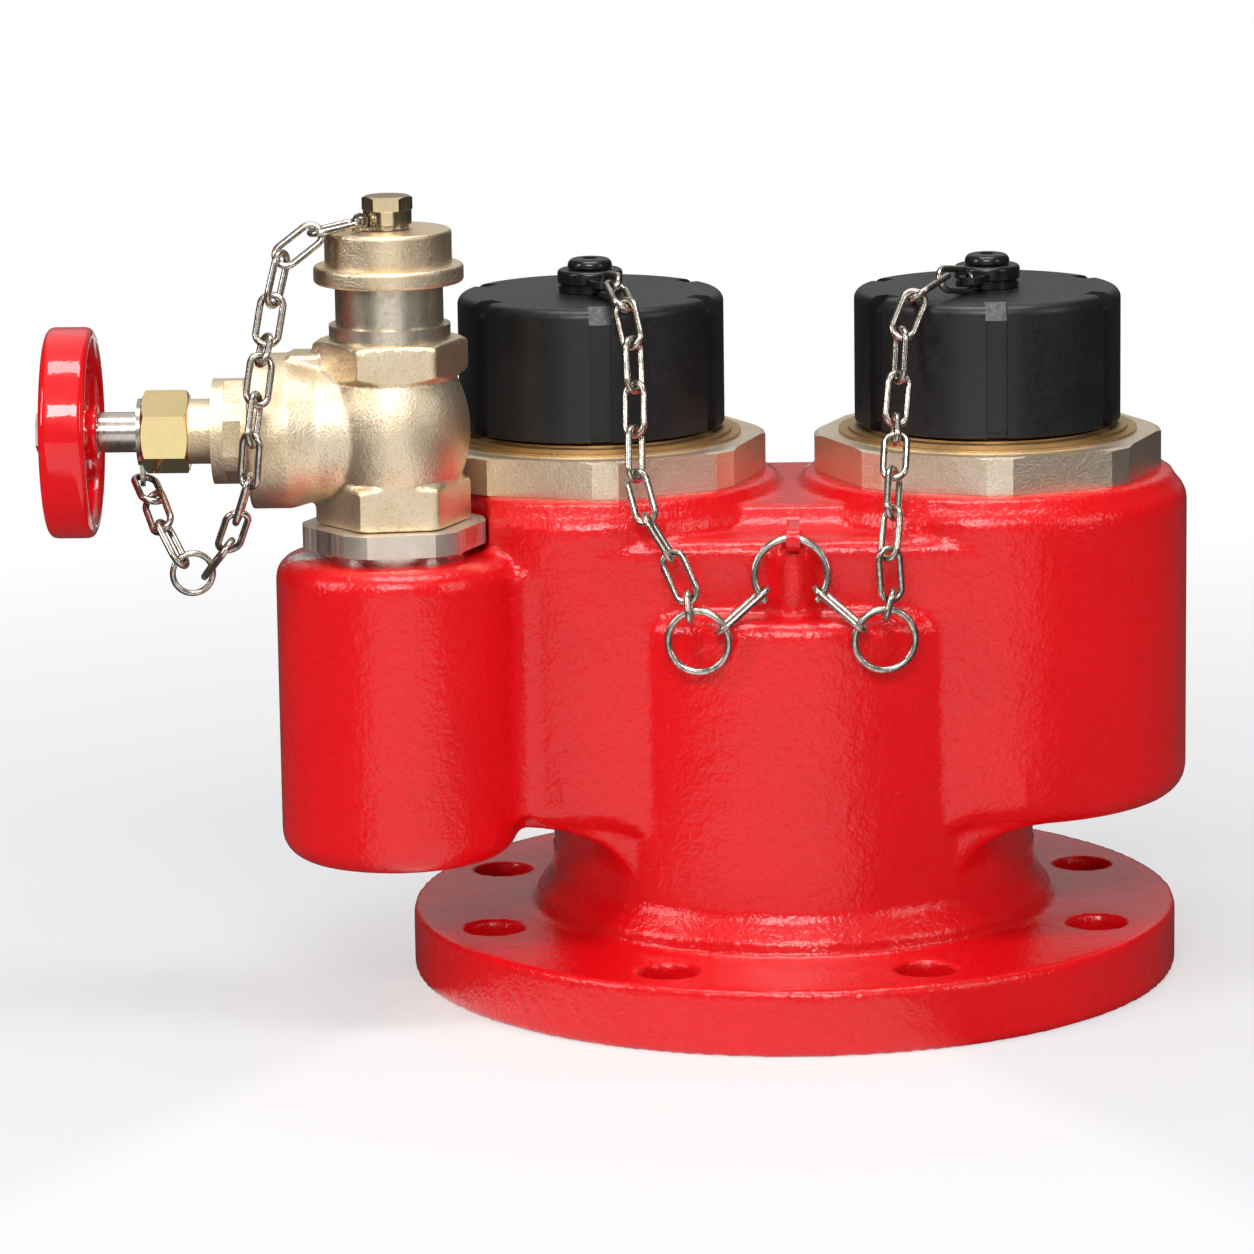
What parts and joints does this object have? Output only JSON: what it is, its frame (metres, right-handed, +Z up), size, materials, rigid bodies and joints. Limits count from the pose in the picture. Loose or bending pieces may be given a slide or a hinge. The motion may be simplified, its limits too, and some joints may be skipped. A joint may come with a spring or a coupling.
{
  "type": "fire department connection",
  "caption": "Red cast two-way breeching inlet standing on its riser flange, with capped hose inlets, spring check valves and a brass drain valve with a chained outlet cap.",
  "frame": {"origin": "centre of the riser flange's lower face", "axes": "+Z up the riser's axis, +X along the row of inlets towards the right inlet, -Y to the front where the chains hang"},
  "size_m": [0.4178, 0.285, 0.2975],
  "materials": {
    "red_paint": "gloss enamel on a cast surface",
    "wheel_paint": "smooth gloss enamel",
    "cast_brass": "sand cast, matt",
    "brass": "machined",
    "polished_brass": "polished",
    "pale_brass": "turned, pale and matt",
    "fibre": "matt sheet gasket",
    "rubber": "matt",
    "black_cap": "satin moulded",
    "black_collar": "smooth",
    "black_screw": "black oxide",
    "chain_steel": "bright, a little dull",
    "spring_steel": "drawn wire",
    "stem_steel": "turned bright"
  },
  "bodies": {
    "fixed": {"body_casting": "red_paint", "left_inlet_adaptor": "cast_brass", "right_inlet_adaptor": "cast_brass", "left_adaptor_gasket": "fibre", "right_adaptor_gasket": "fibre", "centre_ring": "chain_steel", "left_joining_link": "chain_steel", "right_joining_link": "chain_steel", "drain_locknut": "brass", "drain_gasket": "stem_steel", "drain_valve_body": "cast_brass", "drain_bonnet": "cast_brass", "gland_packing": "fibre", "gland_nut": "polished_brass", "chain_anchor": "chain_steel", "outlet_adaptor": "pale_brass", "drain_tail_chain": "chain_steel"},
    "left_check": {"left_clack": "brass", "left_clack_seal": "rubber", "left_clack_spring": "spring_steel", "left_clack_nut": "brass"},
    "right_check": {"right_clack": "brass", "right_clack_seal": "rubber", "right_clack_spring": "spring_steel", "right_clack_nut": "brass"},
    "left_lift": {"left_cap_collar": "black_collar", "left_cap_chain": "chain_steel", "left_side_ring": "chain_steel"},
    "right_lift": {"right_cap_collar": "black_collar", "right_cap_chain": "chain_steel", "right_side_ring": "chain_steel"},
    "left_cap": {"left_cap": "black_cap", "left_cap_washer": "rubber", "left_cap_screw": "black_screw"},
    "right_cap": {"right_cap": "black_cap", "right_cap_washer": "rubber", "right_cap_screw": "black_screw"},
    "outlet_lift": {"outlet_swivel": "chain_steel", "drain_chain": "chain_steel", "drain_ring": "chain_steel"},
    "outlet_cap": {"outlet_cap": "cast_brass", "outlet_cap_washer": "rubber", "outlet_cap_nut": "brass"},
    "disc": {"disc_holder": "brass", "disc_seal": "rubber"},
    "wheel": {"drain_stem": "stem_steel", "handwheel": "wheel_paint", "handwheel_nut": "stem_steel"}
  },
  "joints": [
    {"name": "left_check_slide", "type": "slide", "parent": "fixed", "child": "left_check", "axis": [0, 0, -1], "range_m": [0, 0.012], "stiffness_N_per_m": 400, "springref_m": -0.02, "deforming": ["left_clack_spring"]},
    {"name": "right_check_slide", "type": "slide", "parent": "fixed", "child": "right_check", "axis": [0, 0, -1], "range_m": [0, 0.012], "stiffness_N_per_m": 400, "springref_m": -0.02, "deforming": ["right_clack_spring"]},
    {"name": "left_cap_lift", "type": "slide", "parent": "fixed", "child": "left_lift", "axis": [0, 0, 1], "range_m": [0, 0.00694]},
    {"name": "left_cap_turn", "type": "hinge", "parent": "left_lift", "child": "left_cap", "pos_m": [-0.073, 0, 0.2], "axis": [0, 0, 1], "range_deg": [0, 1080]},
    {"name": "right_cap_lift", "type": "slide", "parent": "fixed", "child": "right_lift", "axis": [0, 0, 1], "range_m": [0, 0.00694]},
    {"name": "right_cap_turn", "type": "hinge", "parent": "right_lift", "child": "right_cap", "pos_m": [0.073, 0, 0.2], "axis": [0, 0, 1], "range_deg": [0, 1080]},
    {"name": "outlet_cap_lift", "type": "slide", "parent": "fixed", "child": "outlet_lift", "axis": [0, 0, 1], "range_m": [0, 0.00694]},
    {"name": "outlet_cap_turn", "type": "hinge", "parent": "outlet_lift", "child": "outlet_cap", "pos_m": [-0.1435, -0.062, 0.27], "axis": [0, 0, 1], "range_deg": [0, 1080]},
    {"name": "disc_slide", "type": "slide", "parent": "fixed", "child": "disc", "axis": [-1, 0, 0], "range_m": [0, 0.00752]},
    {"name": "wheel_turn", "type": "hinge", "parent": "disc", "child": "wheel", "pos_m": [-0.2435, -0.062, 0.213], "axis": [-1, 0, 0], "range_deg": [0, 1080]}
  ],
  "couplings": [
    {"joint": "left_cap_lift", "follows": "left_cap_turn", "m_per_rad": 0.00036749},
    {"joint": "right_cap_lift", "follows": "right_cap_turn", "m_per_rad": 0.00036749},
    {"joint": "outlet_cap_lift", "follows": "outlet_cap_turn", "m_per_rad": 0.00036749},
    {"joint": "disc_slide", "follows": "wheel_turn", "m_per_rad": 0.00039789}
  ]
}
